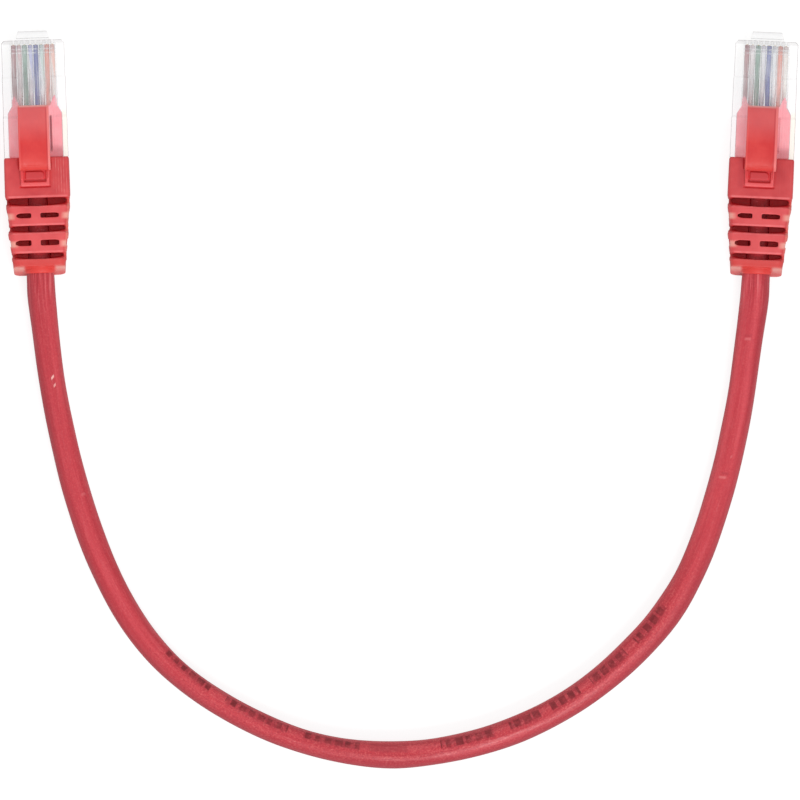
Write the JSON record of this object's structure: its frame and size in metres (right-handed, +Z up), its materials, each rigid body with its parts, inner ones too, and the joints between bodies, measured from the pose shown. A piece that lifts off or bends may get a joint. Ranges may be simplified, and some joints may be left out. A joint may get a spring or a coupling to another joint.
{
  "type": "ethernet patch cable",
  "caption": "Short round ethernet patch cable with a clear modular plug and a snag-proof strain relief boot at each end, lying in a U.",
  "frame": {"origin": "middle of the assembly's footprint, on the table under it", "axes": "+X from plug a to plug b, +Y from the bottom of the U towards the plug noses, +Z up through the latches"},
  "size_m": [0.1458, 0.135, 0.0135],
  "materials": {
    "clear_polycarbonate": "gloss",
    "red_boot_pvc": "satin",
    "red_inner_pvc": "satin",
    "red_jacket_pvc": "gloss",
    "gold_plate": "polished",
    "wire_brown": "gloss",
    "wire_white_brown": "gloss",
    "wire_green": "gloss",
    "wire_white_green": "gloss",
    "wire_blue": "gloss",
    "wire_white_blue": "gloss",
    "wire_orange": "gloss",
    "wire_white_orange": "gloss"
  },
  "bodies": {
    "cord_centre": {"cord_centre_jacket": "red_jacket_pvc", "cord_centre_pair_blue": "wire_blue", "cord_centre_pair_orange": "wire_orange", "cord_centre_pair_green": "wire_green", "cord_centre_pair_brown": "wire_brown"},
    "cord_left": {"cord_left_jacket": "red_jacket_pvc", "cord_left_pair_blue": "wire_blue", "cord_left_pair_orange": "wire_orange", "cord_left_pair_green": "wire_green", "cord_left_pair_brown": "wire_brown"},
    "plug_a": {"plug_a_housing": "clear_polycarbonate", "plug_a_boot": "red_boot_pvc", "plug_a_inner_mould": "red_inner_pvc", "plug_a_jacket_end": "red_jacket_pvc", "plug_a_contact_8": "gold_plate", "plug_a_wire_8_brown": "wire_brown", "plug_a_contact_7": "gold_plate", "plug_a_wire_7_white_brown": "wire_white_brown", "plug_a_contact_6": "gold_plate", "plug_a_wire_6_green": "wire_green", "plug_a_contact_5": "gold_plate", "plug_a_wire_5_white_blue": "wire_white_blue", "plug_a_contact_4": "gold_plate", "plug_a_wire_4_blue": "wire_blue", "plug_a_contact_3": "gold_plate", "plug_a_wire_3_white_green": "wire_white_green", "plug_a_contact_2": "gold_plate", "plug_a_wire_2_orange": "wire_orange", "plug_a_contact_1": "gold_plate", "plug_a_wire_1_white_orange": "wire_white_orange"},
    "guard_a": {"plug_a_snag_guard": "red_boot_pvc"},
    "latch_a": {"plug_a_latch": "clear_polycarbonate"},
    "cord_right": {"cord_right_jacket": "red_jacket_pvc", "cord_right_pair_blue": "wire_blue", "cord_right_pair_orange": "wire_orange", "cord_right_pair_green": "wire_green", "cord_right_pair_brown": "wire_brown"},
    "plug_b": {"plug_b_housing": "clear_polycarbonate", "plug_b_boot": "red_boot_pvc", "plug_b_inner_mould": "red_inner_pvc", "plug_b_jacket_end": "red_jacket_pvc", "plug_b_contact_8": "gold_plate", "plug_b_wire_8_brown": "wire_brown", "plug_b_contact_7": "gold_plate", "plug_b_wire_7_white_brown": "wire_white_brown", "plug_b_contact_6": "gold_plate", "plug_b_wire_6_green": "wire_green", "plug_b_contact_5": "gold_plate", "plug_b_wire_5_white_blue": "wire_white_blue", "plug_b_contact_4": "gold_plate", "plug_b_wire_4_blue": "wire_blue", "plug_b_contact_3": "gold_plate", "plug_b_wire_3_white_green": "wire_white_green", "plug_b_contact_2": "gold_plate", "plug_b_wire_2_orange": "wire_orange", "plug_b_contact_1": "gold_plate", "plug_b_wire_1_white_orange": "wire_white_orange"},
    "guard_b": {"plug_b_snag_guard": "red_boot_pvc"},
    "latch_b": {"plug_b_latch": "clear_polycarbonate"}
  },
  "joints": [
    {"name": "bend_left", "type": "hinge", "parent": "cord_centre", "child": "cord_left", "pos_m": [-0.0442, -0.04624, 0.0025], "axis": [0, 0, 1], "range_deg": [-30, 30], "stiffness_Nm_per_rad": 0.0005},
    {"name": "bend_right", "type": "hinge", "parent": "cord_centre", "child": "cord_right", "pos_m": [0.04293, -0.046, 0.0025], "axis": [0, 0, 1], "range_deg": [-30, 30], "stiffness_Nm_per_rad": 0.0005},
    {"name": "boot_bend_a", "type": "hinge", "parent": "cord_left", "child": "plug_a", "pos_m": [-0.06576, 0.02231, 0.0036], "axis": [0, 0, 1], "range_deg": [-35, 35], "stiffness_Nm_per_rad": 0.0005},
    {"name": "guard_press_a", "type": "hinge", "parent": "plug_a", "child": "guard_a", "pos_m": [-0.06644, 0.0427, 0.009], "axis": [-0.9995, -0.0332, 0], "range_deg": [0, 14], "stiffness_Nm_per_rad": 0.0015},
    {"name": "latch_press_a", "type": "hinge", "parent": "plug_a", "child": "latch_a", "pos_m": [-0.06723, 0.06659, 0.0062], "axis": [0.9995, 0.0332, 0], "range_deg": [0, 11.5], "stiffness_Nm_per_rad": 0.0015},
    {"name": "boot_bend_b", "type": "hinge", "parent": "cord_right", "child": "plug_b", "pos_m": [0.06524, 0.02215, 0.0036], "axis": [0, 0, 1], "range_deg": [-35, 35], "stiffness_Nm_per_rad": 0.0005},
    {"name": "guard_press_b", "type": "hinge", "parent": "plug_b", "child": "guard_b", "pos_m": [0.06617, 0.04253, 0.009], "axis": [-0.999, 0.0454, 0], "range_deg": [0, 14], "stiffness_Nm_per_rad": 0.0015},
    {"name": "latch_press_b", "type": "hinge", "parent": "plug_b", "child": "latch_b", "pos_m": [0.06725, 0.06641, 0.0062], "axis": [0.999, -0.0454, 0], "range_deg": [0, 11.5], "stiffness_Nm_per_rad": 0.0015}
  ],
  "couplings": [
    {"joint": "latch_press_a", "follows": "guard_press_a", "ratio": 0.8},
    {"joint": "latch_press_b", "follows": "guard_press_b", "ratio": 0.8}
  ]
}
